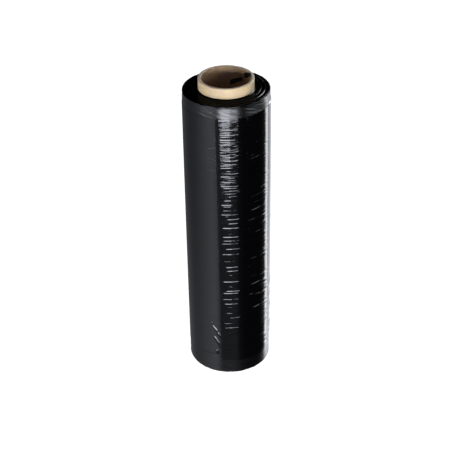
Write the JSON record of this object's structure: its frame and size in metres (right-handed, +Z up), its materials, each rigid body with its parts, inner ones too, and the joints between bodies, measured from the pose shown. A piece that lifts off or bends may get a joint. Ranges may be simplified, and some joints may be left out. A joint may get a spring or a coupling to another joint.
{
  "type": "stretch wrap roll",
  "caption": "Hand roll of black stretch wrap film on a paperboard core that stands proud at both ends, with the cut tail of its outer turn lying down the side.",
  "frame": {"origin": "middle of the core's lower end, on the surface that the roll stands on", "axes": "+Z up the roll's axis, -Y towards the side where the cut tail of the film lies, +X to the right as seen from there"},
  "size_m": [0.1367, 0.1368, 0.532],
  "materials": {
    "board": "plain kraft paperboard, matt, spiral wound",
    "film": "opaque black polyethylene film, glossy and wrinkled where the outer turn is stretched, smoother and hazier elsewhere"
  },
  "bodies": {
    "root": {"core_tube": "board", "film_roll": "film"}
  },
  "joints": []
}
